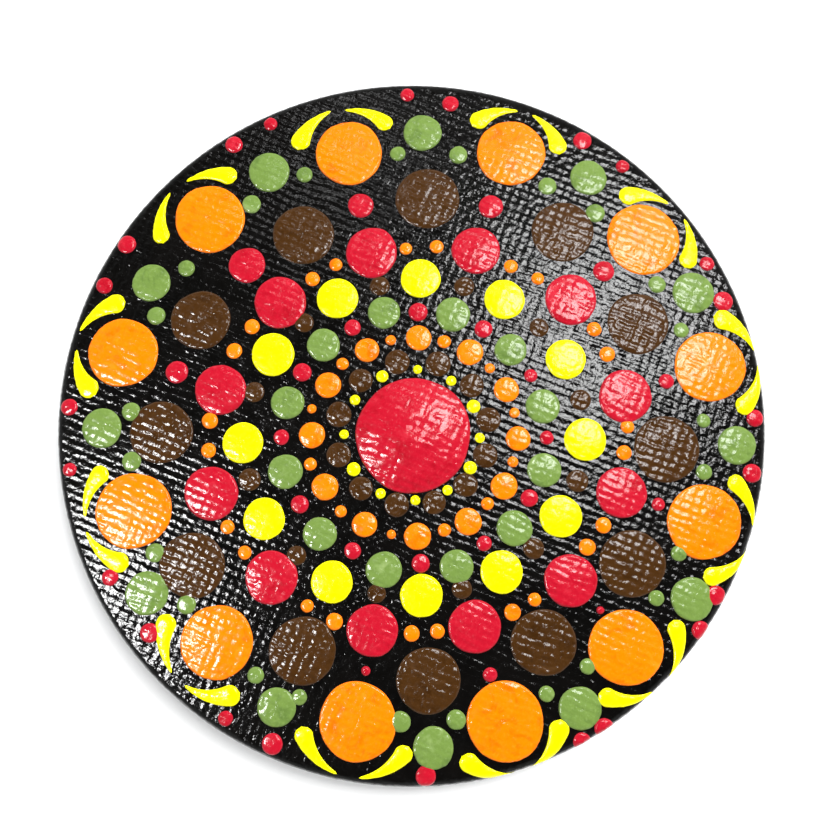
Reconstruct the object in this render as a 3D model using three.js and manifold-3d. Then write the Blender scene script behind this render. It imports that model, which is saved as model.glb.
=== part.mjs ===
// A round canvas panel, hand painted with a mandala of raised dots.
//
// A greyboard disc is wrapped in cotton canvas whose edge is turned onto the back in notched tabs. A paper
// disc is glued over the tab ends. The front and the side wall carry a black acrylic ground, and the dots
// of thick acrylic paint stand on that ground in rings of twelve around one large centre dot.
//
// Millimetres, +Z up. The panel lies on its back on z = 0 with the painted face up, centred on the Z axis.

import * as THREE from "three";
import { mergeVertices } from "three/addons/utils/BufferGeometryUtils.js";
import Module from "manifold-3d";

const wasm = await Module();
wasm.setup();

// ---- Driving dimensions ------------------------------------------------------------------------------

const boardRadius = 50.8; // a 4 inch board, before it is wrapped
const coreThickness = 3.0;
const canvasThickness = 0.4; // coarse plain-weave cotton, primed
const paperThickness = 0.15;
const groundThickness = 0.08; // two brushed coats of black acrylic
const glueLine = 0.02; // between every two layers, and under every dot

const cornerRadius = 0.9; // the canvas rolls over the board's edge
const tabInnerRadius = 38; // where the turned canvas ends on the back
const tabCount = 24;
const notchDepth = 10.4; // radial length of the V cut between two tabs
const notchWidth = 1.7; // at the open, inner end
const notchTipWidth = 0.5;
const paperRadius = 44;
const paperStepRadius = 36.6; // the paper leaves the board here to climb over the tab ends
const paperStepWidth = 1.2;
const groundWrapAngle = 60; // degrees that the black ground follows the lower corner before it stops

const roundSegments = 72;
const cornerSteps = 3;
const dotsPerRing = 12;

// The painter's centre isn't the panel's, and the spokes were set out by eye.
const mandalaCentre = new THREE.Vector2(0.4, -3.0);
const spokeDrift = [
  { turns: 1, degrees: 3.0, toward: 249 },
  { turns: 2, degrees: 1.0, toward: 125 },
];
const ovalToward = 12; // degrees; the rings are a little longer along this direction

// lean moves a ring's centre off the mandala's, in mm; oval is its stretch as a share of its radius.
// slips are the dots that the hand set off their ring's line, by index, as [x, y] in mm.
const rings = [
  {
    name: "orange_dot",
    ringRadius: 42.7,
    startAngle: 14.2,
    lean: [0.8, 2.5],
    oval: 0,
    slips: {
      0: [0, 1],
      3: [0, -1],
      4: [0, 0.9],
      5: [-1.4, 0.9],
      7: [0.7, 0],
      8: [1.4, -0.5],
      9: [0.5, -0.8],
      10: [-0.6, -1],
      11: [0, -0.7],
    },
    dotRadius: 5.25,
    dotHeight: 0.3,
    segments: 24,
    colour: 0xff9a10,
  },
  {
    name: "brown_dot",
    ringRadius: 35.5,
    startAngle: 29.1,
    lean: [0.8, 1.1],
    oval: 0.03,
    slips: {
      0: [-1, 0],
      1: [1.3, 0],
      3: [0.2, -1],
      4: [-0.8, -1.1],
      5: [-0.7, 0.3],
      6: [-0.9, -0.7],
      7: [0.9, -0.3],
      8: [0.8, -0.7],
      10: [-0.3, -0.5],
      11: [-0.9, -0.6],
    },
    dotRadius: 4.6,
    dotHeight: 0.2,
    segments: 24,
    colour: 0x54341a,
  },
  {
    name: "red_dot",
    ringRadius: 29.2,
    startAngle: 14.5,
    lean: [0.95, 0.15],
    oval: 0.04,
    slips: {
      0: [0, -0.9],
      4: [0, -0.5],
      5: [0, -0.9],
      6: [-0.5, -0.5],
      7: [0, 0.7],
      8: [0.5, 0],
      10: [0.7, -0.4],
    },
    dotRadius: 3.75,
    dotHeight: 0.32,
    segments: 20,
    colour: 0xe3203a,
  },
  {
    name: "yellow_dot",
    ringRadius: 23.7,
    startAngle: 29.8,
    lean: [0.3, 0.3],
    oval: 0.034,
    slips: {
      5: [-0.4, -0.9],
      6: [-0.7, 0.4],
      7: [-0.6, -0.3],
    },
    dotRadius: 3.12,
    dotHeight: 0.32,
    segments: 18,
    colour: 0xffff10,
  },
];

const centreDot = { radius: 8.3, height: 1.1, segments: 32, colour: 0xe3203a };

// ---- Levels above the table, worked out from the layers ----------------------------------------------

const tabUnderside = paperThickness + glueLine;
const tabTop = tabUnderside + canvasThickness;
const coreBottom = tabTop + glueLine;
const coreTop = coreBottom + coreThickness;
const canvasBottom = coreTop + glueLine;
const canvasTop = canvasBottom + canvasThickness;
const groundBottom = canvasTop + glueLine;
const groundTop = groundBottom + groundThickness;
const dotBottom = groundTop + glueLine;

const canvasRadius = boardRadius + glueLine + canvasThickness;

// ---- Helpers -----------------------------------------------------------------------------------------

const radians = THREE.MathUtils.degToRad;

// A body of revolution about Z from a closed profile of (radius, height) points.
function turned(points, segments = roundSegments) {
  return new THREE.LatheGeometry(points, segments).rotateX(Math.PI / 2);
}

function point(radius, height) {
  return new THREE.Vector2(radius, height);
}

// An arc of profile points about (radius, height), from one angle to the next, in degrees.
function cornerRound(radius, height, size, fromDegrees, toDegrees) {
  const points = [];
  for (let step = 0; step <= cornerSteps; step += 1) {
    const angle = radians(THREE.MathUtils.lerp(fromDegrees, toDegrees, step / cornerSteps));
    points.push(point(radius + size * Math.cos(angle), height + size * Math.sin(angle)));
  }
  return points;
}

function toSolid(geometry) {
  const bare = geometry.clone();
  bare.deleteAttribute("normal");
  bare.deleteAttribute("uv");
  const merged = mergeVertices(bare);
  return new wasm.Manifold(
    new wasm.Mesh({
      numProp: 3,
      vertProperties: merged.attributes.position.array,
      triVerts: new Uint32Array(merged.index.array),
    }),
  );
}

function toGeometry(solid) {
  const mesh = solid.getMesh();
  const geometry = new THREE.BufferGeometry();
  geometry.setAttribute("position", new THREE.BufferAttribute(mesh.vertProperties, 3));
  geometry.setIndex(new THREE.BufferAttribute(mesh.triVerts, 1));
  geometry.computeVertexNormals();
  return geometry;
}

function piece(name, geometry, colour, roughness) {
  const material = new THREE.MeshStandardMaterial({ color: colour, roughness, metalness: 0 });
  const mesh = new THREE.Mesh(geometry, material);
  mesh.name = name;
  return mesh;
}

// ---- The board and its coverings ---------------------------------------------------------------------

function coreBoard() {
  const edge = cornerRadius - canvasThickness;
  const inner = boardRadius - edge;
  return turned([
    point(0, coreBottom),
    ...cornerRound(inner, coreBottom + edge, edge, -90, 0),
    ...cornerRound(inner, coreTop - edge, edge, 0, 90),
    point(0, coreTop),
  ]);
}

// The V cuts between the tabs, as one wedge-shaped prism each.
function notch(index) {
  const outline = new THREE.Shape([
    point(tabInnerRadius - 1, -notchWidth / 2),
    point(tabInnerRadius + notchDepth, -notchTipWidth / 2),
    point(tabInnerRadius + notchDepth, notchTipWidth / 2),
    point(tabInnerRadius - 1, notchWidth / 2),
  ]);
  const prism = new THREE.ExtrudeGeometry(outline, { depth: tabTop, bevelEnabled: false });
  return prism.rotateZ(((index + 0.5) * 2 * Math.PI) / tabCount);
}

// One piece of cloth: the front, the side wall, and the turned tabs on the back.
function canvasWrap() {
  const outer = canvasRadius - cornerRadius;
  const insideCorner = cornerRadius - canvasThickness;
  let cloth = toSolid(
    turned([
      point(0, canvasTop),
      ...cornerRound(outer, canvasTop - cornerRadius, cornerRadius, 90, 0),
      ...cornerRound(outer, tabUnderside + cornerRadius, cornerRadius, 0, -90),
      point(tabInnerRadius, tabUnderside),
      point(tabInnerRadius, tabTop),
      ...cornerRound(outer, tabUnderside + cornerRadius, insideCorner, -90, 0),
      ...cornerRound(outer, canvasTop - cornerRadius, insideCorner, 0, 90),
      point(0, canvasBottom),
    ].reverse()),
  );
  for (let index = 0; index < tabCount; index += 1) {
    cloth = cloth.subtract(toSolid(notch(index)));
  }
  return toGeometry(cloth);
}

// Black paint over the front, down the side wall and a little way under the lower corner.
function blackGround() {
  const arcCentre = canvasRadius - cornerRadius;
  const inside = cornerRadius + glueLine;
  const outside = inside + groundThickness;
  const upper = canvasTop - cornerRadius;
  const lower = tabUnderside + cornerRadius;
  return turned([
    point(0, groundBottom),
    ...cornerRound(arcCentre, upper, inside, 90, 0),
    ...cornerRound(arcCentre, lower, inside, 0, -groundWrapAngle),
    ...cornerRound(arcCentre, lower, outside, -groundWrapAngle, 0),
    ...cornerRound(arcCentre, upper, outside, 0, 90),
    point(0, groundTop),
  ]);
}

// The paper lies on the board in the middle and climbs over the ends of the tabs further out.
function backingPaper() {
  const boardSide = coreBottom - glueLine;
  const stepEnd = paperStepRadius + paperStepWidth;
  return turned([
    point(0, boardSide - paperThickness),
    point(paperStepRadius, boardSide - paperThickness),
    point(stepEnd, 0),
    point(paperRadius, 0),
    point(paperRadius, paperThickness),
    point(stepEnd, paperThickness),
    point(paperStepRadius, boardSide),
    point(0, boardSide),
  ]);
}

// ---- Paint dots --------------------------------------------------------------------------------------

// A puddle of thick paint: steep at its edge and nearly flat on top.
function paintDot(radius, height, segments) {
  const crownAngles = [0, 34, 62];
  const crown = crownAngles.map((degrees) => {
    const angle = radians(degrees);
    return point(radius * Math.cos(angle) ** 0.75, height * Math.sin(angle));
  });
  return turned([point(0, 0), ...crown, point(0, height)], segments);
}

// The angle of a spoke as the hand set it out, for the angle that it should have.
function spokeAngle(evenDegrees) {
  let degrees = evenDegrees;
  for (const drift of spokeDrift) {
    degrees += drift.degrees * Math.cos(radians(drift.turns * (evenDegrees - drift.toward)));
  }
  return radians(degrees);
}

function dotPlace(ring, index) {
  const angle = spokeAngle(ring.startAngle + (index * 360) / dotsPerRing);
  const [leanX, leanY] = ring.lean;
  const stretch = ring.oval * Math.cos(2 * (angle - radians(ovalToward)));
  const distance = ring.ringRadius * (1 + stretch) + leanX * Math.cos(angle) + leanY * Math.sin(angle);
  const [slipX, slipY] = ring.slips[index] ?? [0, 0];
  const x = mandalaCentre.x + distance * Math.cos(angle) + slipX;
  const y = mandalaCentre.y + distance * Math.sin(angle) + slipY;
  return new THREE.Vector3(x, y, dotBottom);
}

function ringOfDots(ring) {
  const group = new THREE.Group();
  for (let index = 0; index < dotsPerRing; index += 1) {
    const name = `${ring.name}_${String(index + 1).padStart(2, "0")}`;
    const shape = paintDot(ring.dotRadius, ring.dotHeight, ring.segments);
    const dot = piece(name, shape, ring.colour, 0.3);
    dot.position.copy(dotPlace(ring, index));
    group.add(dot);
  }
  return group;
}

function centre() {
  const shape = paintDot(centreDot.radius, centreDot.height, centreDot.segments);
  const dot = piece("centre_dot", shape, centreDot.colour, 0.25);
  dot.position.set(mandalaCentre.x, mandalaCentre.y, dotBottom);
  return dot;
}

// ---- The assembly ------------------------------------------------------------------------------------

const panel = new THREE.Group();
panel.add(piece("core_board", coreBoard(), 0x8f857a, 0.95));
panel.add(piece("canvas_wrap", canvasWrap(), 0xe9e4d6, 0.9));
panel.add(piece("backing_paper", backingPaper(), 0xf0ece2, 0.85));
panel.add(piece("black_ground", blackGround(), 0x100d10, 0.3));
panel.add(centre());
for (const ring of rings) {
  panel.add(ringOfDots(ring));
}

export default panel;
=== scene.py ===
"""A round canvas panel, hand painted with a mandala of raised acrylic dots.

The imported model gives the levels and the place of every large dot. This script lays the fine surface on
it: the weave under the black ground, puddles of thick paint, the smaller dots and strokes between them, the
turned canvas and the glued paper on the back, and the finish of each material.
"""

import math
import random

import bpy
import numpy as np
from mathutils import Matrix, Vector


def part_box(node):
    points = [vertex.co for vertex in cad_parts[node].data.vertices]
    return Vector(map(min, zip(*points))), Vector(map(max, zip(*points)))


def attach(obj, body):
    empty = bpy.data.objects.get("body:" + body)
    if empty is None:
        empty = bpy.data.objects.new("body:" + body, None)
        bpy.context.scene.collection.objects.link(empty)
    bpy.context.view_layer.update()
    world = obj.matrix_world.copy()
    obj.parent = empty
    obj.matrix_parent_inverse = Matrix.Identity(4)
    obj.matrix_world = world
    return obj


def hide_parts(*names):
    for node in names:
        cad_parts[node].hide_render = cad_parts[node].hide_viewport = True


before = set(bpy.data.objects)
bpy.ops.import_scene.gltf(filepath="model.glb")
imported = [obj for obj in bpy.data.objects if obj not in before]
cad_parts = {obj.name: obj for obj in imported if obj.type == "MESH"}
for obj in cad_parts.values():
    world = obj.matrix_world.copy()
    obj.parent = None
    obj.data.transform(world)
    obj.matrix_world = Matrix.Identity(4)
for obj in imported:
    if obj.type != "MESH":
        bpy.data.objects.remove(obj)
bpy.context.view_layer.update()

MM = 0.001
TURN = 2 * math.pi

# ---- The panel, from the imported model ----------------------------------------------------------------

GROUND_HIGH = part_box("black_ground")[1]
CANVAS_LOW, CANVAS_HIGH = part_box("canvas_wrap")
CORE_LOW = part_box("core_board")[0]
PAPER_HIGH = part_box("backing_paper")[1]
CENTRE_LOW, CENTRE_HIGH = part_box("centre_dot")

PANEL_RADIUS = GROUND_HIGH.x
CANVAS_RADIUS = CANVAS_HIGH.x
PAPER_RADIUS = PAPER_HIGH.x
FACE = GROUND_HIGH.z  # the top of the black ground
MANDALA = (CENTRE_LOW + CENTRE_HIGH) / 2  # the middle of the pattern, a little off the panel's own

CORNER = 0.9 * MM  # the canvas rolls over the board's edge
CLOTH_THICKNESS = 0.3 * MM
CLOTH_DROP = 0.12 * MM  # the hidden face of the cloth lies under the pits of the painted weave
PAPER_THICKNESS = 0.15 * MM
GLUE_LINE = 0.02 * MM
PAPER_MIDDLE = CORE_LOW.z - GLUE_LINE - PAPER_THICKNESS  # the paper's outer side, where it lies on the board
TAB_COUNT = 24
TAB_INNER_RADIUS = 38 * MM
NOTCH_TIP_RADIUS = 48.4 * MM
NOTCH_WIDTH = 1.7 * MM
NOTCH_TIP_WIDTH = 0.5 * MM
STEP_RADIUS = 36.6 * MM  # the paper starts to climb over the tab ends
STEP_WIDTH = 1.2 * MM

SHELL_INSET = 0.12 * MM  # the inner side of the black ground's wall, inside the cloth's outer side
SHELL_DEPTH = 0.21 * MM  # the flat underside of the black ground, under its crowns
SHELL_LIP = 0.3 * MM  # that underside starts this far in from the rounded corner
WRAP_UNDER = math.radians(60)  # how far round the lower corner the black ground reaches

# ---- The cloth and the paint on it -------------------------------------------------------------------

COLUMN_PITCH = 1.227 * MM  # from one warp thread to the next
COLUMN_ACROSS = math.radians(-20.9)  # the direction across the warp threads
ROW_PITCH = 1.102 * MM  # the same two for the weft
ROW_ACROSS = math.radians(68.0)
COLUMN_RELIEF = 0.018 * MM  # half of the way from a warp thread's crown to the valley beside it, painted
ROW_RELIEF = 0.029 * MM
CROSSING_RELIEF = 0.014 * MM  # how much higher a thread is where it passes over
CROWN = 0.055 * MM  # from the mean level of the weave to its highest crowns
SAMPLES_PER_THREAD = 3.6
GRAIN = 0.012 * MM  # unevenness of the brushed paint, from one sample to the next
LUMPS = 0.020 * MM  # unevenness of the paint over half a thread

FINE = 0.24 * MM  # spacing of the points of a puddle
EDGE = 0.28 * MM  # width of a puddle's rounded edge
SHOULDER = 0.45  # share of a puddle's height that its rounded edge gives. Its crown gives the rest
DOME_SHOULDER = 0.35  # share of that profile in the centre dot, which is otherwise a plain dome
SINK = 0.02 * MM  # a puddle's underside lies this far under the surface of the ground
RIM_FILM = 0.03 * MM  # thickness of a puddle at its outline
RIM_MARGIN = 0.12 * MM  # paint stays this far from the rim
CREASE = math.radians(50)  # edges sharper than this aren't shaded smooth

DOTS_PER_RING = 12
SPOKE_STEP = 30  # degrees
SPOKE_DRIFT = ((1, 3.0, 249), (2, 1.0, 125))  # turns, degrees, toward: the spokes were set out by eye
OVAL_TOWARD = 12  # degrees, the long axis of the rings that came out oval

HORIZON_GLOW = 0.45
CEILING_GLOW = 0.02
LIGHT_DISTANCE = 0.90

CAMERA_X, CAMERA_Y = 1.334 * MM, -15.816 * MM
CAMERA_RISE = 114.43 * MM  # above the face
CAMERA_TILT, CAMERA_ROLL = math.radians(7.895), math.radians(0.407)


# ---- Small helpers -----------------------------------------------------------------------------------


def ripple(x, y, seed, length, waves=9):
    """Smooth random unevenness at (x, y), from about -1 to 1, with features of that length."""
    draw = random.Random(seed)
    total = np.zeros(np.shape(x))
    for _ in range(waves):
        toward = draw.uniform(0, TURN)
        pace = TURN / (length * draw.uniform(0.8, 2.2))
        total = total + np.sin(pace * (x * math.cos(toward) + y * math.sin(toward)) + draw.uniform(0, TURN))
    return total / math.sqrt(waves)


def scatter(shape, seed):
    """Random numbers from -1 to 1."""
    return np.random.default_rng(seed).uniform(-1, 1, shape)


def thread_number(x, y):
    """Position at (x, y) counted in warp threads and in weft threads."""
    column = (x * math.cos(COLUMN_ACROSS) + y * math.sin(COLUMN_ACROSS)) / COLUMN_PITCH
    row = (x * math.cos(ROW_ACROSS) + y * math.sin(ROW_ACROSS)) / ROW_PITCH
    return column, row


def slub(number, along, seed):
    """How much fatter than usual a thread is, at a place along it."""
    phase = np.sin(number * 12.9898 + seed) * 43758.5453
    phase = (phase - np.floor(phase)) * TURN
    return np.sin(phase + along * 0.37) * 0.6 + np.sin(2.3 * phase + along * 0.91) * 0.4


def weave(x, y):
    """Height of a plain weave filled with paint, about its mean level.

    Warp and weft both stand out as ridges, and a thread is a little higher where it passes over."""
    column, row = thread_number(x, y)
    column = column + 0.12 * ripple(x, y, 11, 8 * MM)
    row = row + 0.12 * ripple(x, y, 12, 8 * MM)
    warp, weft = np.round(column), np.round(row)
    over = 1 - 2 * np.mod(warp + weft, 2)
    warp_ridge = np.cos(TURN * column) * (1 + 0.5 * slub(warp, row, 1.0)) + 0.2 * slub(warp, row, 3.0)
    weft_ridge = np.cos(TURN * row) * (1 + 0.4 * slub(weft, column, 2.0)) + 0.2 * slub(weft, column, 4.0)
    crossing = over * np.cos(math.pi * (column - warp)) * np.cos(math.pi * (row - weft))
    height = COLUMN_RELIEF * warp_ridge + ROW_RELIEF * weft_ridge
    height = height + CROSSING_RELIEF * crossing * (warp_ridge - weft_ridge)
    return height + LUMPS * ripple(x, y, 13, 0.75 * MM, waves=28)


def mesh_piece(name, points, faces, material):
    """A named smooth-shaded piece that rides on the panel."""
    mesh = bpy.data.meshes.new(name)
    mesh.from_pydata(np.asarray(points).tolist(), [], faces)
    mesh.polygons.foreach_set("use_smooth", np.ones(len(mesh.polygons), dtype=bool))
    mesh.set_sharp_from_angle(angle=CREASE)
    mesh.materials.append(material)
    obj = bpy.data.objects.new(name, mesh)
    bpy.context.scene.collection.objects.link(obj)
    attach(obj, "root")
    return obj


def ring_faces(first, second, count):
    """Quads between two rings of that many points, given the number of each ring's first point."""
    return [
        (first + i, first + (i + 1) % count, second + (i + 1) % count, second + i)
        for i in range(count)
    ]


# ---- Material nodes ----------------------------------------------------------------------------------


def start_material(name):
    material = bpy.data.materials.new(name)
    material.use_nodes = True
    tree = material.node_tree
    return material, tree, tree.nodes["Principled BSDF"]


def add(tree, kind, values=(), **settings):
    """A node of that kind, with its settings and with its inputs set or linked."""
    made = tree.nodes.new("ShaderNode" + kind)
    for key, value in settings.items():
        setattr(made, key, value)
    for key, value in dict(values).items():
        if isinstance(value, bpy.types.NodeSocket):
            tree.links.new(value, made.inputs[key])
        else:
            made.inputs[key].default_value = value
    return made


def place(tree):
    return add(tree, "TexCoord").outputs["Object"]


def noise(tree, where, size, detail=2.0, roughness=0.5, distortion=0.0):
    values = {"Vector": where, "Scale": 1 / size, "Detail": detail, "Roughness": roughness}
    values["Distortion"] = distortion
    return add(tree, "TexNoise", values).outputs["Fac"]


def stretched(tree, where, degrees, factor):
    """Coordinates drawn out along a direction, for brush marks and threads."""
    turned = add(tree, "Mapping", {"Vector": where, "Rotation": (0, 0, math.radians(-degrees))})
    values = {"Vector": turned.outputs["Vector"], "Scale": (1 / factor, 1, 1)}
    return add(tree, "Mapping", values).outputs["Vector"]


def span(tree, value, low, high, out_low, out_high):
    values = {"Value": value, "From Min": low, "From Max": high, "To Min": out_low, "To Max": out_high}
    return add(tree, "MapRange", values).outputs["Result"]


def sums(tree, operation, first, second):
    return add(tree, "Math", {0: first, 1: second}, operation=operation).outputs["Value"]


def tones(tree, value, stops):
    """A colour that goes through the stops, each (position, colour)."""
    made = add(tree, "ValToRGB", {"Fac": value})
    ramp = made.color_ramp
    while len(ramp.elements) < len(stops):
        ramp.elements.new(0.5)
    for element, (position, colour) in zip(ramp.elements, stops):
        element.position = position
        element.color = (*colour, 1)
    return made.outputs["Color"]


def mixed(tree, factor, first, second):
    made = add(tree, "Mix", data_type="RGBA")
    sockets = {"Factor_Float": factor, "A_Color": first, "B_Color": second}
    for socket in made.inputs:
        value = sockets.get(socket.identifier)
        if isinstance(value, bpy.types.NodeSocket):
            tree.links.new(value, socket)
        elif value is not None:
            socket.default_value = (*value, 1) if isinstance(value, tuple) else value
    return [s for s in made.outputs if s.identifier == "Result_Color"][0]


def bumped(tree, height, distance):
    values = {"Height": height, "Distance": distance, "Strength": 1.0}
    return add(tree, "Bump", values).outputs["Normal"]


def wire(tree, shader, colour, roughness, normal):
    tree.links.new(colour, shader.inputs["Base Color"])
    tree.links.new(roughness, shader.inputs["Roughness"])
    tree.links.new(normal, shader.inputs["Normal"])


# ---- Materials ---------------------------------------------------------------------------------------


def dot_paint(name, deep, main, pale, gloss=(0.10, 0.24), relief=0.045, coat=0.2):
    """Thick glossy acrylic: pooled pigment, a skin with fine wrinkles, and pinpricks left by bubbles."""
    material, tree, shader = start_material(name)
    where = place(tree)
    pools = noise(tree, where, 2.6 * MM, 3, 0.6, 0.6)
    colour = tones(tree, pools, [(0.30, deep), (0.48, main), (0.62, main), (0.80, pale)])
    pigment = noise(tree, where, 0.42 * MM, 3, 0.65)
    colour = mixed(tree, span(tree, pigment, 0.52, 0.78, 0.0, 0.55), colour, pale)
    skin = noise(tree, where, 0.55 * MM, 1.5, 0.5)
    prick = add(tree, "TexVoronoi", {"Vector": where, "Scale": 1 / (0.9 * MM)}).outputs["Distance"]
    height = sums(tree, "ADD", skin, span(tree, prick, 0.0, 0.16, -0.2, 0.0))
    roughness = span(tree, noise(tree, where, 1.1 * MM, 3), 0.3, 0.7, gloss[0], gloss[1])
    wire(tree, shader, colour, roughness, bumped(tree, height, relief * MM))
    shader.inputs["Coat Weight"].default_value = coat
    shader.inputs["Coat Roughness"].default_value = 0.12
    return material


def ground_paint():
    """Black acrylic brushed over the weave, glossier in some patches, and rubbed thin along the rim."""
    material, tree, shader = start_material("black_ground_paint")
    where = place(tree)
    clouds = noise(tree, where, 7 * MM, 4, 0.6)
    colour = tones(tree, clouds, [(0.3, (0.0012, 0.0011, 0.0010)), (0.7, (0.0032, 0.0027, 0.0024))])
    split = add(tree, "SeparateXYZ", {"Vector": where}).outputs
    squares = sums(tree, "ADD", sums(tree, "POWER", split["X"], 2.0), sums(tree, "POWER", split["Y"], 2.0))
    radius = sums(tree, "SQRT", squares, 0.0)
    at_rim = span(tree, radius, PANEL_RADIUS - 0.7 * MM, PANEL_RADIUS, 0.0, 1.0)
    rubbed = span(tree, noise(tree, where, 1.3 * MM, 5, 0.7), 0.55, 0.72, 0.0, 0.5)
    worn = sums(tree, "MULTIPLY", at_rim, rubbed)
    colour = mixed(tree, worn, colour, (0.10, 0.085, 0.07))
    brush = noise(tree, stretched(tree, where, 24, 7), 0.22 * MM, 3, 0.6)
    skin = noise(tree, where, 0.50 * MM, 1.5, 0.5)
    height = sums(tree, "ADD", skin, sums(tree, "MULTIPLY", brush, 0.15))
    roughness = span(tree, noise(tree, where, 2.0 * MM, 4, 0.6), 0.3, 0.7, 0.07, 0.18)
    wire(tree, shader, colour, roughness, bumped(tree, height, 0.062 * MM))
    shader.inputs["Coat Weight"].default_value = 0.25
    shader.inputs["Coat Roughness"].default_value = 0.12
    return material


def raw_canvas():
    """Cream cotton cloth: each thread its own tone, with fuzz and a soft sheen."""
    material, tree, shader = start_material("raw_canvas")
    where = place(tree)
    warp = noise(tree, stretched(tree, where, 69.1, 14), 0.55 * MM, 2)
    weft = noise(tree, stretched(tree, where, -22.0, 14), 0.55 * MM, 2)
    threads = sums(tree, "MULTIPLY", sums(tree, "ADD", warp, weft), 0.5)
    stops = [(0.35, (0.50, 0.44, 0.33)), (0.5, (0.68, 0.63, 0.51)), (0.65, (0.80, 0.76, 0.65))]
    colour = tones(tree, threads, stops)
    flecks = span(tree, noise(tree, where, 0.8 * MM, 2), 0.70, 0.78, 0.0, 0.6)
    colour = mixed(tree, flecks, colour, (0.22, 0.15, 0.08))
    fuzz = noise(tree, where, 0.10 * MM, 3, 0.7)
    height = sums(tree, "ADD", threads, sums(tree, "MULTIPLY", fuzz, 0.5))
    roughness = span(tree, fuzz, 0.3, 0.7, 0.82, 0.98)
    wire(tree, shader, colour, roughness, bumped(tree, height, 0.05 * MM))
    shader.inputs["Sheen Weight"].default_value = 0.25
    shader.inputs["Sheen Roughness"].default_value = 0.5
    return material


def backing():
    """Matt off-white paper, a little uneven in tone, with faint darker fibres."""
    material, tree, shader = start_material("backing_paper_stock")
    where = place(tree)
    clouds = noise(tree, where, 9 * MM, 5, 0.6)
    colour = tones(tree, clouds, [(0.3, (0.72, 0.69, 0.61)), (0.7, (0.83, 0.81, 0.75))])
    fibres = noise(tree, stretched(tree, where, 35, 9), 0.16 * MM, 3, 0.6)
    colour = mixed(tree, span(tree, fibres, 0.60, 0.80, 0.0, 0.35), colour, (0.50, 0.45, 0.36))
    tooth = noise(tree, where, 0.14 * MM, 4, 0.7)
    height = sums(tree, "ADD", tooth, sums(tree, "MULTIPLY", fibres, 0.6))
    roughness = span(tree, tooth, 0.3, 0.7, 0.72, 0.92)
    wire(tree, shader, colour, roughness, bumped(tree, height, 0.02 * MM))
    return material


def greyboard():
    """Grey-brown recycled board, seen in the notches between the canvas tabs."""
    material, tree, shader = start_material("greyboard")
    where = place(tree)
    pulp = noise(tree, where, 1.2 * MM, 6, 0.7)
    colour = tones(tree, pulp, [(0.3, (0.16, 0.14, 0.12)), (0.7, (0.33, 0.30, 0.26))])
    specks = span(tree, noise(tree, where, 0.35 * MM, 2), 0.68, 0.76, 0.0, 0.7)
    colour = mixed(tree, specks, colour, (0.06, 0.06, 0.07))
    roughness = span(tree, pulp, 0.3, 0.7, 0.85, 0.97)
    wire(tree, shader, colour, roughness, bumped(tree, pulp, 0.05 * MM))
    return material


def paper_floor():
    """A sheet of seamless white background paper."""
    material, tree, shader = start_material("floor_paper")
    where = place(tree)
    clouds = noise(tree, where, 120 * MM, 3)
    colour = tones(tree, clouds, [(0.3, (0.90, 0.90, 0.905)), (0.7, (0.93, 0.93, 0.93))])
    tooth = noise(tree, where, 0.6 * MM, 3)
    wire(tree, shader, colour, span(tree, tooth, 0.3, 0.7, 0.75, 0.9), bumped(tree, tooth, 0.01 * MM))
    return material


# ---- The black ground --------------------------------------------------------------------------------


def thread_grid(radius):
    """Points along the threads inside a circle, snapped to it at the edge, and the faces between them."""
    to_threads = np.array([
        [math.cos(COLUMN_ACROSS) / COLUMN_PITCH, math.sin(COLUMN_ACROSS) / COLUMN_PITCH],
        [math.cos(ROW_ACROSS) / ROW_PITCH, math.sin(ROW_ACROSS) / ROW_PITCH],
    ])
    to_place = np.linalg.inv(to_threads)
    reach = int(radius / min(COLUMN_PITCH, ROW_PITCH) * SAMPLES_PER_THREAD) + 6
    steps = np.arange(-reach, reach + 1) * (1 / SAMPLES_PER_THREAD)
    columns, rows = np.meshgrid(steps, steps, indexing="ij")
    x = to_place[0, 0] * columns + to_place[0, 1] * rows
    y = to_place[1, 0] * columns + to_place[1, 1] * rows
    distance = np.hypot(x, y)
    half = 0.55 * max(COLUMN_PITCH, ROW_PITCH) / SAMPLES_PER_THREAD
    near = np.abs(distance - radius) < half
    scale = np.where(near, radius / np.maximum(distance, half), 1.0)
    kept = near | (distance < radius)
    return without_spares((x * scale)[kept], (y * scale)[kept], grid_faces(kept))


def grid_faces(kept):
    """Faces of a grid's cells that keep three corners or four, with the kept points numbered in order."""
    number = -np.ones(kept.shape, dtype=int)
    number[kept] = np.arange(kept.sum())
    corners = [kept[:-1, :-1], kept[1:, :-1], kept[1:, 1:], kept[:-1, 1:]]
    faces = []
    for i, j in np.argwhere(sum(c.astype(int) for c in corners) >= 3):
        loop = [number[i, j], number[i + 1, j], number[i + 1, j + 1], number[i, j + 1]]
        faces.append([int(n) for n in loop if n >= 0])
    return faces


def without_spares(x, y, faces):
    """The points that the faces use, and the faces with those points' new numbers."""
    used = np.zeros(len(x), dtype=bool)
    used[[n for face in faces for n in face]] = True
    renumber = np.cumsum(used) - 1
    faces = [[int(renumber[n]) for n in face] for face in faces]
    return x[used], y[used], faces


def open_edge(faces):
    """The numbers of the points along a sheet's open edge, in order."""
    edges = {(a, b) for face in faces for a, b in zip(face, face[1:] + face[:1])}
    following = {a: b for a, b in edges if (b, a) not in edges}
    loop = [min(following)]
    while following[loop[-1]] != loop[0]:
        loop.append(following[loop[-1]])
    return loop


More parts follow.
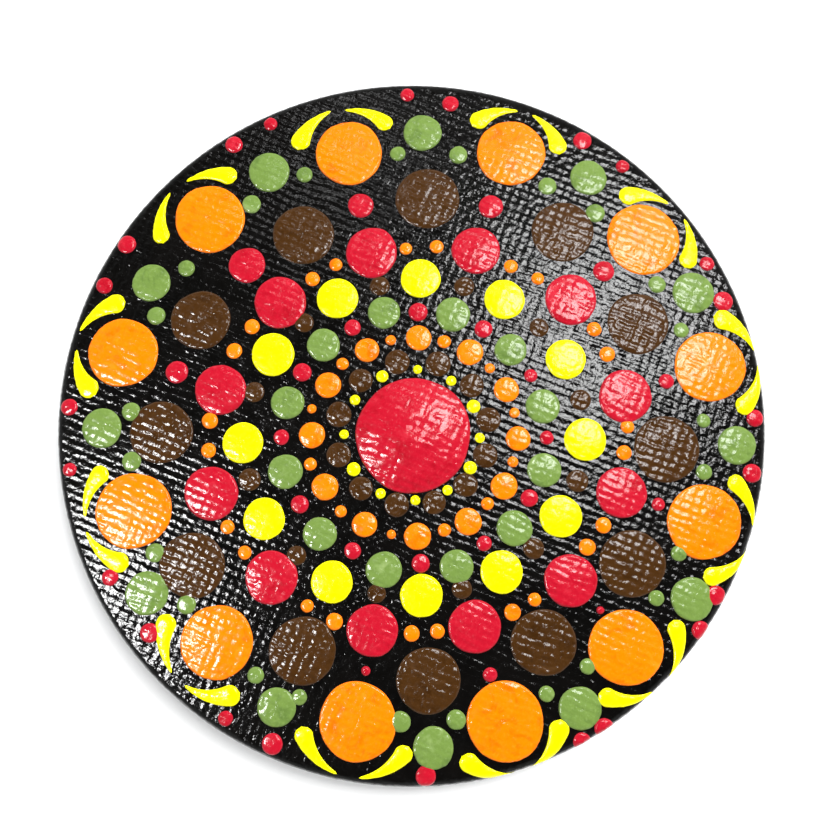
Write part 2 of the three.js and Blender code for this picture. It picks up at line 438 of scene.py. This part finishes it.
def edge_profile(outset, stop=WRAP_UNDER, corner_steps=4, wall_steps=5):
    """Points (radius, height, outward radial, outward height, path length) from the face over the edge.

    The path goes round the upper corner, down the wall and round the lower corner as far as stop. outset is
    how far outside the canvas it runs."""
    size = CORNER + outset
    inner = CANVAS_RADIUS - CORNER
    upper, lower = CANVAS_HIGH.z - CORNER, CANVAS_LOW.z + CORNER
    points = []
    for step in range(1, corner_steps + 1):
        angle = step / corner_steps * math.pi / 2
        across, rise = math.sin(angle), math.cos(angle)
        points.append((inner + size * across, upper + size * rise, across, rise, size * angle))
    path = size * math.pi / 2
    for step in range(1, wall_steps + 1):
        drop = step / wall_steps * (upper - lower)
        points.append((inner + size, upper - drop, 1.0, 0.0, path + drop))
    path += upper - lower
    for step in range(1, corner_steps):
        angle = step / (corner_steps - 1) * stop
        across, rise = math.cos(angle), -math.sin(angle)
        points.append((inner + size * across, lower + size * rise, across, rise, path + size * angle))
    return points


def black_ground(material):
    """The painted face and edge as one thin closed shell. Its face carries the weave at thread scale."""
    flat_radius = CANVAS_RADIUS - CORNER
    film = FACE - CANVAS_HIGH.z
    x, y, faces = thread_grid(flat_radius)
    high = painted_face(x, y) + GRAIN * scatter(len(x), 3)
    rings = [np.column_stack([x, y, high])]
    rim = open_edge(faces)
    count = len(rim)
    around = np.arctan2(y[rim], x[rim])
    ring_starts = []
    total = len(x)
    for index, (radius, height, across, rise, path) in enumerate(edge_profile(film)):
        unrolled = flat_radius + path
        lift = 0.5 * weave(unrolled * np.cos(around), unrolled * np.sin(around)) - CROWN / 2
        lift = lift + GRAIN * scatter(count, 40 + index)
        reach = radius + across * lift
        level = height + rise * lift
        rings.append(np.column_stack([reach * np.cos(around), reach * np.sin(around), level]))
        ring_starts.append(total)
        total += count
    inside = edge_profile(-SHELL_INSET, corner_steps=3, wall_steps=1)[::-1]
    under = GROUND_HIGH.z - SHELL_DEPTH
    inner_rings = [(radius, min(height, under)) for radius, height, *_ in inside]
    for radius, height in inner_rings + [(flat_radius - SHELL_LIP, under)]:
        level = np.full(count, height)
        rings.append(np.column_stack([radius * np.cos(around), radius * np.sin(around), level]))
        ring_starts.append(total)
        total += count
    rings.append(np.array([[0.0, 0.0, under]]))
    first = ring_starts[0]
    for i in range(count):
        after = (i + 1) % count
        faces.append((rim[after], rim[i], first + i, first + after))
        faces.append((ring_starts[-1] + after, ring_starts[-1] + i, total))
    for inner, outer in zip(ring_starts, ring_starts[1:]):
        faces += [tuple(reversed(f)) for f in ring_faces(inner, outer, count)]
    obj = mesh_piece("black_ground_painted", np.vstack(rings), faces, material)
    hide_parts("black_ground")


# ---- Puddles of paint --------------------------------------------------------------------------------


def painted_face(x, y):
    """Level of the painted ground at (x, y), which rolls over at the rim."""
    corner = CORNER + FACE - CANVAS_HIGH.z
    beyond = np.clip(np.hypot(x, y) - (CANVAS_RADIUS - CORNER), 0, 0.95 * corner)
    return FACE - CROWN / 2 + weave(x, y) - (corner - np.sqrt(corner**2 - beyond**2))


def kept_on_panel(x, y):
    """The same points, with any that would lie beyond the rim drawn back to it."""
    pull = np.minimum(1, (PANEL_RADIUS - RIM_MARGIN) / np.maximum(np.hypot(x, y), MM))
    return x * pull, y * pull


def bead_profile(inward, edge, share):
    """A puddle's height as a share of its greatest.

    inward is the way from its outline, edge the width of its rounded edge, and share the way from its centre
    to its outline."""
    rounded = 1 - np.clip(1 - inward / edge, 0, 1) ** 2.2
    return SHOULDER * rounded + (1 - SHOULDER) * (1 - share**2)


def puddle(centre_x, centre_y, radius, height, keep, seed, domed=False):
    """Points and faces of one dot of paint, closed, with its underside on the ground.

    keep is the share of the weave's relief that still shows on top."""
    draw = random.Random(seed)
    count = max(24, int(TURN * radius / FINE / 2) * 2)
    steps = max(6, int(1.35 * radius / FINE))
    around = np.arange(count) * TURN / count
    wobble = np.ones(count)
    for turns, share in ((2, 0.016), (3, 0.012), (5, 0.008), (9, 0.005)):
        wobble += share * draw.uniform(0.3, 1.0) * np.cos(turns * around + draw.uniform(0, TURN))
    share = np.sin(np.arange(1, steps + 1) / steps * math.pi / 2)
    reach = radius * share[:, None] * wobble[None, :]
    x = centre_x + reach * np.cos(around)[None, :]
    y = centre_y + reach * np.sin(around)[None, :]
    x, y = kept_on_panel(x, y)
    crown = bead_profile(radius * (1 - share), min(EDGE, 0.7 * radius), share)
    if domed:
        crown = DOME_SHOULDER * crown + (1 - DOME_SHOULDER) * (1 - share**2)
    low = painted_face(x, y) - SINK
    body = height * crown[:, None] * (1 + 0.05 * ripple(x, y, seed, 2.6 * MM))
    melt = np.clip(crown * 2, 0, 1)[:, None]
    relief = painted_face(x, y) - (1 - keep) * weave(x, y)
    high = low + RIM_FILM + melt * (relief - low) + body + 0.6 * GRAIN * scatter(x.shape, seed)
    mean_level = FACE - CROWN / 2
    centre_relief = weave(np.array([centre_x]), np.array([centre_y]))[0]
    top = (centre_x, centre_y, mean_level + keep * centre_relief + height)
    bottom = (centre_x, centre_y, mean_level + centre_relief - SINK)
    points = [np.column_stack([x.ravel(), y.ravel(), high.ravel()]), np.array([top, bottom])]
    points.append(np.column_stack([x.ravel(), y.ravel(), low.ravel()]))
    return np.vstack(points), puddle_faces(count, steps)


def puddle_faces(count, steps):
    """Faces of a puddle: its upper rings come first, then its top and bottom points, then its lower rings."""
    summit = count * steps
    under = summit + 2
    faces = []
    for i in range(count):
        after = (i + 1) % count
        faces.append((summit, i, after))
        faces.append((summit + 1, under + after, under + i))
    for step in range(steps - 1):
        inner, outer = step * count, (step + 1) * count
        faces += [tuple(reversed(f)) for f in ring_faces(inner, outer, count)]
        faces += ring_faces(under + inner, under + outer, count)
    outer = (steps - 1) * count
    faces += [tuple(reversed(f)) for f in ring_faces(outer, under + outer, count)]
    return faces


def stroke(head, middle, tail, width, height, keep, seed):
    """Points and faces of one teardrop: a round head drawn out through the middle into a thin tail."""
    along_count, across_count = 30, 13
    share = np.linspace(0, 1, along_count)
    path = np.array([
        (1 - t) ** 2 * np.array(head) + 2 * t * (1 - t) * np.array(middle) + t * t * np.array(tail)
        for t in share
    ])
    heading = np.gradient(path, axis=0)
    heading /= np.linalg.norm(heading, axis=1)[:, None]
    side = np.column_stack([-heading[:, 1], heading[:, 0]])
    length = np.linalg.norm(np.diff(path, axis=0), axis=1).sum()
    half = stroke_half_width(share, width, length)
    across = np.sin(np.linspace(-1, 1, across_count) * math.pi / 2)
    x = path[:, 0][:, None] + side[:, 0][:, None] * half[:, None] * across[None, :]
    y = path[:, 1][:, None] + side[:, 1][:, None] * half[:, None] * across[None, :]
    x, y = kept_on_panel(x, y)
    fat = height * np.clip(half / (width / 2), 0.15, 1)[:, None]
    inward = half[:, None] * (1 - np.abs(across))[None, :]
    crown = bead_profile(inward, np.clip(0.7 * half, 0.1 * MM, EDGE)[:, None], np.abs(across)[None, :])
    low = painted_face(x, y) - SINK
    relief = painted_face(x, y) - (1 - keep) * weave(x, y)
    melt = np.clip(crown * 2, 0, 1)
    high = low + RIM_FILM + melt * (relief - low) + fat * crown
    high = high + 0.5 * GRAIN * scatter(x.shape, seed)
    top = np.column_stack([x.ravel(), y.ravel(), high.ravel()])
    bottom = np.column_stack([x.ravel(), y.ravel(), low.ravel()])
    return np.vstack([top, bottom]), stroke_faces(along_count, across_count)


def stroke_half_width(share, width, length):
    """Half the width of a teardrop, at each share of its length from its head."""
    nose = min(0.45, 0.5 * width / length)
    rounded = np.sqrt(np.clip(1 - ((nose - share) / nose) ** 2, 0, 1))
    tapering = 0.12 + 0.88 * np.clip(1 - (share - nose) / (1 - nose), 0, 1) ** 1.15
    end = np.sqrt(np.clip((1 - share) / 0.03, 0, 1))
    half = width / 2 * np.where(share < nose, rounded, tapering * end)
    return np.maximum(half, 0.02 * MM)


def stroke_faces(along_count, across_count):
    """Faces of a teardrop: a grid on top, the same grid below, and a band round their outline."""
    under = along_count * across_count
    faces = []
    for i in range(along_count - 1):
        for j in range(across_count - 1):
            a, b = i * across_count + j, (i + 1) * across_count + j
            faces.append((a, b, b + 1, a + 1))
            faces.append((under + a, under + a + 1, under + b + 1, under + b))
    outline = [(0, j) for j in range(across_count)]
    outline += [(i, across_count - 1) for i in range(1, along_count)]
    outline += [(along_count - 1, j) for j in range(across_count - 2, -1, -1)]
    outline += [(i, 0) for i in range(along_count - 2, 0, -1)]
    numbers = [i * across_count + j for i, j in outline]
    for this, after in zip(numbers, numbers[1:] + numbers[:1]):
        faces.append((this, after, under + after, under + this))
    return faces


def joined(parts):
    """Several closed bodies as one list of points and faces."""
    points, faces, start = [], [], 0
    for part_points, part_faces in parts:
        points.append(part_points)
        faces += [tuple(start + n for n in face) for face in part_faces]
        start += len(part_points)
    return np.vstack(points), faces


def spoke_angle(even):
    """The angle that the hand gave a spoke, for the one that it should have, both in degrees."""
    drift = 0
    for turns, size, toward in SPOKE_DRIFT:
        drift += size * math.cos(math.radians(turns * (even - toward)))
    return even + drift


def ring_place(radius, even, lean, oval):
    """Place of a dot of a ring. radius and lean are in mm, even in degrees."""
    angle = math.radians(spoke_angle(even))
    stretch = oval * math.cos(2 * (angle - math.radians(OVAL_TOWARD)))
    distance = radius * (1 + stretch) + lean[0] * math.cos(angle) + lean[1] * math.sin(angle)
    return MANDALA.x + distance * MM * math.cos(angle), MANDALA.y + distance * MM * math.sin(angle)


def large_dots(prefix, material, keep):
    """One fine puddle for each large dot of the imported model."""
    for name in sorted(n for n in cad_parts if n.startswith(prefix)):
        low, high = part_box(name)
        middle = (low + high) / 2
        seed = sum(ord(letter) * (step + 7) for step, letter in enumerate(name))
        centre = name == "centre_dot"
        size = 1.0 if centre else random.Random(seed).uniform(0.95, 1.03)
        radius = size * (high.x - low.x) / 2
        points, faces = puddle(middle.x, middle.y, radius, high.z - low.z, keep, seed, domed=centre)
        obj = mesh_piece(name + "_paint", points, faces, material)
        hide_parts(name)


# The rings of small dots: name, paint, ring radius, start angle, lean, oval, least and greatest diameter,
# height, and share of the weave kept. Lengths are in mm and angles in degrees.
SMALL_RINGS = (
    ("green_dots_inner", "green", 19.1, 15.0, (0.18, -0.46), 0.0, 4.7, 5.1, 0.28, 0.6),
    ("orange_dots_inner", "orange", 14.6, -0.7, (0.26, -0.08), 0.018, 3.5, 3.9, 0.28, 0.5),
    ("brown_dots_inner", "brown", 10.8, 14.0, (-0.10, 0.41), 0.025, 3.3, 3.7, 0.16, 0.9),
    ("yellow_beads_inner", "yellow", 9.63, -1.3, (-0.18, 0.12), 0.016, 1.3, 2.1, 0.26, 0.2),
    ("orange_beads_inner", "orange", 14.72, 14.9, (-0.19, 0.0), 0.029, 1.3, 2.0, 0.24, 0.3),
    ("red_beads_inner", "red", 18.65, 0.2, (0.11, -0.03), 0.026, 1.8, 2.8, 0.26, 0.5),
    ("brown_beads_middle", "brown", 23.6, 14.3, (0.23, 0.04), 0.038, 2.6, 3.2, 0.16, 0.9),
    ("green_dots_outer", "green", 44.9, 29.5, (1.04, 1.77), 0.013, 5.3, 6.2, 0.28, 0.65),
    ("red_beads_outer", "red", 35.9, 14.5, (0.8, 0.5), 0.02, 1.0, 4.2, 0.25, 0.6),
)

# The rings of pairs: the same, with half the angle between the two of a pair after the start angle.
PAIRED_RINGS = (
    ("orange_beads_outer", "orange", 29.0, 0.0, 4.2, (0.6, 0.1), 0.04, 1.8, 2.4, 0.24, 0.4),
    ("green_beads_outer", "green", 41.3, -0.5, 5.4, (0.5, 1.5), 0.0, 1.9, 2.9, 0.24, 0.5),
    ("red_beads_rim", "red", 49.3, -0.5, 4.3, (-0.3, 2.9), 0.0, 2.0, 3.0, 0.24, 0.6),
)
LEFT_OUT = ("red_beads_rim", 9, -1)  # at the bottom of the rim one bead stands alone

# Diameters of the red_beads_outer in mm, anticlockwise from the right. Each got another load of paint, and
# two got none.
RED_BEAD_SIZES = (2.2, 3.1, 3.6, 3.8, 5.4, 3.3, 0, 0, 1.3, 2.0, 1.1, 1.9)

# Dots that the hand set off their ring's line, in mm, by index, or by index and side for the pairs.
SLIPS = {
    "green_dots_outer": {
        0: (-1.1, 0.2),
        2: (-1.0, 0.0),
        5: (-0.6, 1.2),
        7: (1.4, 0.0),
        8: (0.8, -0.4),
        9: (-0.4, -1.0),
        10: (-0.3, -1.0),
    },
    "red_beads_outer": {8: (1.1, 1.1), 11: (-0.8, 0.0)},
    "red_beads_rim": {
        (1, -1): (-0.9, 1.4),
        (3, -1): (-1.2, -0.8),
        (4, 1): (1.4, 1.2),
        (5, -1): (-0.7, -1.0),
        (6, 1): (-0.1, -1.1),
        (7, -1): (0.1, 1.8),
        (7, 1): (2.0, 0.0),
        (9, 1): (-3.4, -0.4),
        (10, -1): (1.2, -0.9),
        (10, 1): (-1.5, -2.5),
        (11, -1): (0.6, -1.1),
        (11, 1): (-0.5, -1.6),
    },
}


def slipped(name, which, x, y):
    """The place of a dot with its slip added."""
    slip_x, slip_y = SLIPS.get(name, {}).get(which, (0, 0))
    return x + slip_x * MM, y + slip_y * MM


def small_rings(paints):
    for name, colour, radius, start, lean, oval, least, most, height, keep in SMALL_RINGS:
        draw = random.Random(name)
        parts = []
        for index in range(DOTS_PER_RING):
            x, y = slipped(name, index, *ring_place(radius, start + SPOKE_STEP * index, lean, oval))
            size = draw.uniform(least, most) / 2 * MM
            seed = draw.randrange(10**6)
            if name == "red_beads_outer":
                size = RED_BEAD_SIZES[index] / 2 * MM
            if size > 0:
                parts.append(puddle(x, y, size, height * MM, keep, seed))
        points, faces = joined(parts)
        mesh_piece(name, points, faces, paints[colour])


def paired_beads(paints):
    """Beads in pairs, one on each side of a spoke."""
    for name, colour, radius, start, astride, lean, oval, least, most, height, keep in PAIRED_RINGS:
        draw = random.Random(name)
        parts = []
        for index in range(DOTS_PER_RING):
            for side in (-1, 1):
                if (name, index, side) == LEFT_OUT:
                    continue
                even = start + SPOKE_STEP * index + side * astride + draw.uniform(-0.8, 0.8)
                x, y = ring_place(radius + draw.uniform(-0.3, 0.3), even, lean, oval)
                x, y = slipped(name, (index, side), x, y)
                size = draw.uniform(least, most) / 2 * MM
                parts.append(puddle(x, y, size, height * MM, keep, draw.randrange(10**6)))
        points, faces = joined(parts)
        mesh_piece(name, points, faces, paints[colour])


def beside(middle, angle, distance):
    """The place at that angle, in radians, and distance, in mm, from a dot's middle."""
    return middle.x + distance * MM * math.cos(angle), middle.y + distance * MM * math.sin(angle)


def yellow_strokes(paints):
    """A pair of teardrops embraces each orange dot, heads beside the green dots and tails at the rim."""
    draw = random.Random("strokes")
    parts = []
    for index in range(DOTS_PER_RING):
        low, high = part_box(f"orange_dot_{index + 1:02d}")
        middle = (low + high) / 2
        outward = math.atan2(middle.y - MANDALA.y, middle.x - MANDALA.x)
        for side in (-1, 1):
            swing = draw.uniform(-4, 4)
            away = draw.uniform(-0.3, 0.3)
            head = beside(middle, outward + side * math.radians(74 + swing), 7.5 + away)
            bend = beside(middle, outward + side * math.radians(43 + swing), 8.1 + away)
            tail = beside(middle, outward + side * math.radians(11 + swing), 7.1 + away)
            width = draw.uniform(2.5, 3.0) * MM
            parts.append(stroke(head, bend, tail, width, 0.28 * MM, 0.3, draw.randrange(10**6)))
    points, faces = joined(parts)
    mesh_piece("yellow_strokes", points, faces, paints["yellow"])


# ---- The back ----------------------------------------------------------------------------------------


def notch_half_angle(radius):
    """Half the angle that the V cut between two tabs takes up at a radius."""
    open_share = (NOTCH_TIP_RADIUS - radius) / (NOTCH_TIP_RADIUS - TAB_INNER_RADIUS)
    width = NOTCH_TIP_WIDTH + (NOTCH_WIDTH - NOTCH_TIP_WIDTH) * min(max(open_share, 0), 1)
    return width / 2 / radius


def canvas_sections():
    """The cloth's outer side from the middle of the face, over the edge, to the ends of the tabs.

    Each section is (radius, height, outward radial, outward height, path length, cut by a notch)."""
    flat_radius = CANVAS_RADIUS - CORNER
    top = CANVAS_HIGH.z - CLOTH_DROP
    sections = [(radius * MM, top, 0.0, 1.0, 0.0, False) for radius in (4, 14, 26, 38, 46)]
    sections.append((flat_radius, top, 0.0, 1.0, 0.0, False))
    outline = edge_profile(0.0, stop=math.pi / 2, corner_steps=6, wall_steps=6)
    for radius, height, across, rise, path in outline:
        sections.append((radius, min(height, top), across, rise, path, False))
    path = outline[-1][4]
    turned = flat_radius - TAB_INNER_RADIUS
    steps = int(turned / (0.36 * MM))
    for step in range(1, steps + 1):
        radius = flat_radius - turned * step / steps
        unrolled = path + flat_radius - radius
        sections.append((radius, CANVAS_LOW.z, 0.0, -1.0, unrolled, radius < NOTCH_TIP_RADIUS))
    return sections


def cloth_rings(sections, per_tab):
    """A ring of points for each section, with the points of each tab closed up beside its notches."""
    across_tab = np.linspace(-1, 1, per_tab)
    tab_centres = np.arange(TAB_COUNT) * TURN / TAB_COUNT
    rings = []
    for radius, height, across, rise, path, _ in sections:
        half = math.pi / TAB_COUNT - notch_half_angle(radius)
        around = (tab_centres[:, None] + across_tab[None, :] * half).ravel()
        x, y = radius * np.cos(around), radius * np.sin(around)
        lift, pucker = 0.0, 0.0
        if rise < 0 and across < 0.5:
            lift = 2.0 * (np.minimum(weave(x, -y), CROWN) - CROWN)
            pucker = np.abs(0.03 * MM * ripple(x, y, 31, 5 * MM))
        reach = radius + across * lift
        level = np.broadcast_to(height + rise * lift + pucker, around.shape)
        rings.append(np.column_stack([reach * np.cos(around), reach * np.sin(around), level]))
    return rings


def canvas_cloth(material):
    """One cloth: face, edge and turned tabs, with the weave standing out on the tabs."""
    per_tab = 31
    sections = canvas_sections()
    count = TAB_COUNT * per_tab
    points = np.vstack(cloth_rings(sections, per_tab) + [np.array([[0.0, 0.0, sections[0][1]]])])
    faces = [(len(points) - 1, i, (i + 1) % count) for i in range(count)]
    for index in range(len(sections) - 1):
        cut = sections[index + 1][5]
        for i in range(count):
            if cut and i % per_tab == per_tab - 1:
                continue
            after = (i + 1) % count
            inner, outer = index * count, (index + 1) * count
            faces.append((inner + i, outer + i, outer + after, inner + after))
    obj = mesh_piece("canvas_cloth", points, faces, material)
    thicken(obj, CLOTH_THICKNESS)
    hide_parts("canvas_wrap")


def thicken(obj, thickness):
    """Makes a surface into a closed sheet, with the given side kept outside."""
    solid = obj.modifiers.new("thickness", "SOLIDIFY")
    solid.thickness = thickness
    solid.offset = -1
    shaped = bpy.data.meshes.new_from_object(obj.evaluated_get(bpy.context.evaluated_depsgraph_get()))
    obj.modifiers.clear()
    obj.data = shaped


def paper_radii():
    """Radii of the paper's rings of points, closer together where it climbs over the tab ends."""
    middle = [2, 8, 15, 22, 28, 33, 35.4, 36.1]
    climb = [36.6 + 0.2 * i for i in range(1, 7)]
    tabs = [38.2 + 0.4 * i for i in range(14)]
    return [radius * MM for radius in middle + climb + tabs] + [PAPER_RADIUS]


def paper_level(x, y, around, radius):
    """Height of the paper's outer side: it dips into the notches, cockles and shows the weave of the tabs."""
    climb = min(max((radius - STEP_RADIUS) / STEP_WIDTH, 0), 1)
    climb = climb * climb * (3 - 2 * climb)
    tab_turn = TURN / TAB_COUNT
    off_notch = np.abs(np.mod(around, tab_turn) - tab_turn / 2) * radius
    dimple = 0.16 * MM * np.exp(-((off_notch / (0.7 * MM)) ** 2)) * climb
    cockle = 0.018 * MM * np.abs(ripple(x, y, 51, 11 * MM)) * climb
    shown_weave = 0.15 * (CROWN - weave(x, -y)) * climb
    return PAPER_MIDDLE * (1 - climb) + dimple + cockle + shown_weave


def glued_paper(material):
    """The paper disc: flat on the board in the middle, and pressed over the tab ends further out."""
    count = 480
    around = np.arange(count) * TURN / count
    radii = paper_radii()
    rings = []
    for radius in radii:
        x, y = radius * np.cos(around), radius * np.sin(around)
        rings.append(np.column_stack([x, y, paper_level(x, y, around, radius)]))
    points = np.vstack(rings + [np.array([[0.0, 0.0, PAPER_MIDDLE]])])
    faces = [((i + 1) % count, i, len(points) - 1) for i in range(count)]
    for index in range(len(radii) - 1):
        faces += ring_faces(index * count, (index + 1) * count, count)
    obj = mesh_piece("backing_paper_disc", points, faces, material)
    thicken(obj, PAPER_THICKNESS * 0.9)
    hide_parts("backing_paper")


# ---- Stage -------------------------------------------------------------------------------------------


def floor():
    size = 3.0
    level = -0.05 * MM
    corners = [(-size, -size, level), (size, -size, level), (size, size, level), (-size, size, level)]
    mesh = bpy.data.meshes.new("floor")
    mesh.from_pydata(corners, [], [(0, 1, 2, 3)])
    mesh.materials.append(paper_floor())
    obj = bpy.data.objects.new("floor", mesh)
    bpy.context.scene.collection.objects.link(obj)


def softbox(name, toward, size, power, along=(1, 0, 0)):
    """A soft light in that direction from the panel's middle.

    size is its two sides in metres, and the first of them lies in the direction of along."""
    data = bpy.data.lights.new(name, "AREA")
    data.shape = "RECTANGLE"
    data.size, data.size_y = size
    data.energy = power
    obj = bpy.data.objects.new(name, data)
    bpy.context.scene.collection.objects.link(obj)
    back = Vector(toward).normalized()
    up = back.cross(Vector(along)).normalized()
    side = up.cross(back)
    obj.matrix_world = Matrix((side, up, back)).transposed().to_4x4()
    obj.location = back * LIGHT_DISTANCE
    return obj


def studio_world():
    """Soft light from all round near the horizon, and a dark ceiling that the gloss reflects."""
    world = bpy.data.worlds.new("studio")
    world.use_nodes = True
    tree = world.node_tree
    direction = add(tree, "TexCoord").outputs["Generated"]
    height = add(tree, "SeparateXYZ", {"Vector": direction}).outputs["Z"]
    strength = span(tree, height, 0.45, 0.90, HORIZON_GLOW, CEILING_GLOW)
    background = tree.nodes["Background"]
    background.inputs["Color"].default_value = (0.95, 0.98, 0.98, 1)
    tree.links.new(strength, background.inputs["Strength"])
    bpy.context.scene.world = world


def lights():
    """Three lights that the gloss shows, and a broad one that it doesn't."""
    along_rows = (math.cos(ROW_ACROSS - math.pi / 2), math.sin(ROW_ACROSS - math.pi / 2), 0)
    softbox("key_light", (0.24, 0.24, 0.94), (0.23, 0.23), 2.1)
    softbox("left_light", (-0.46, -0.15, 0.875), (0.19, 0.15), 3.3, along_rows)
    softbox("window_light", (-0.10, 0.48, 0.87), (0.08, 0.08), 0.11)
    fill = softbox("fill_light", (0.45, 0.55, 0.70), (0.60, 0.60), 13.0)
    fill.visible_glossy = False
    studio_world()


def camera():
    """The viewpoint: close above the face, a little below its middle and tilted back towards it."""
    data = bpy.data.cameras.new("camera")
    data.sensor_width = 36
    data.lens = 34.78
    data.clip_start = 10 * MM
    obj = bpy.data.objects.new("camera", data)
    bpy.context.scene.collection.objects.link(obj)
    obj.location = (CAMERA_X, CAMERA_Y, FACE + CAMERA_RISE)
    obj.rotation_euler = (CAMERA_TILT, CAMERA_ROLL, 0)
    bpy.context.scene.camera = obj
    bpy.context.scene.view_settings.view_transform = "Standard"


# ---- The whole panel ---------------------------------------------------------------------------------

paints = {
    "red": dot_paint("red_acrylic", (0.36, 0.003, 0.012), (0.45, 0.006, 0.020), (0.58, 0.03, 0.05)),
    "orange": dot_paint("orange_acrylic", (0.85, 0.14, 0.0), (0.95, 0.20, 0.0), (1.0, 0.27, 0.01)),
    "yellow": dot_paint("yellow_acrylic", (0.98, 0.88, 0.0), (1.0, 0.94, 0.0), (1.0, 1.0, 0.0), coat=0.0),
    "green": dot_paint("green_acrylic", (0.10, 0.17, 0.035), (0.15, 0.24, 0.05), (0.24, 0.34, 0.11)),
    "brown": dot_paint(
        "brown_acrylic",
        (0.036, 0.013, 0.002),
        (0.052, 0.020, 0.004),
        (0.08, 0.036, 0.012),
        gloss=(0.10, 0.22),
        relief=0.068,
    ),
}

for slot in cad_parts["core_board"].material_slots:
    slot.material = greyboard()

camera()
lights()
floor()
black_ground(ground_paint())
canvas_cloth(raw_canvas())
glued_paper(backing())
large_dots("centre_dot", paints["red"], 0.5)
large_dots("orange_dot", paints["orange"], 0.6)
large_dots("brown_dot", paints["brown"], 0.95)
large_dots("red_dot", paints["red"], 0.6)
large_dots("yellow_dot", paints["yellow"], 0.3)
small_rings(paints)
paired_beads(paints)
yellow_strokes(paints)
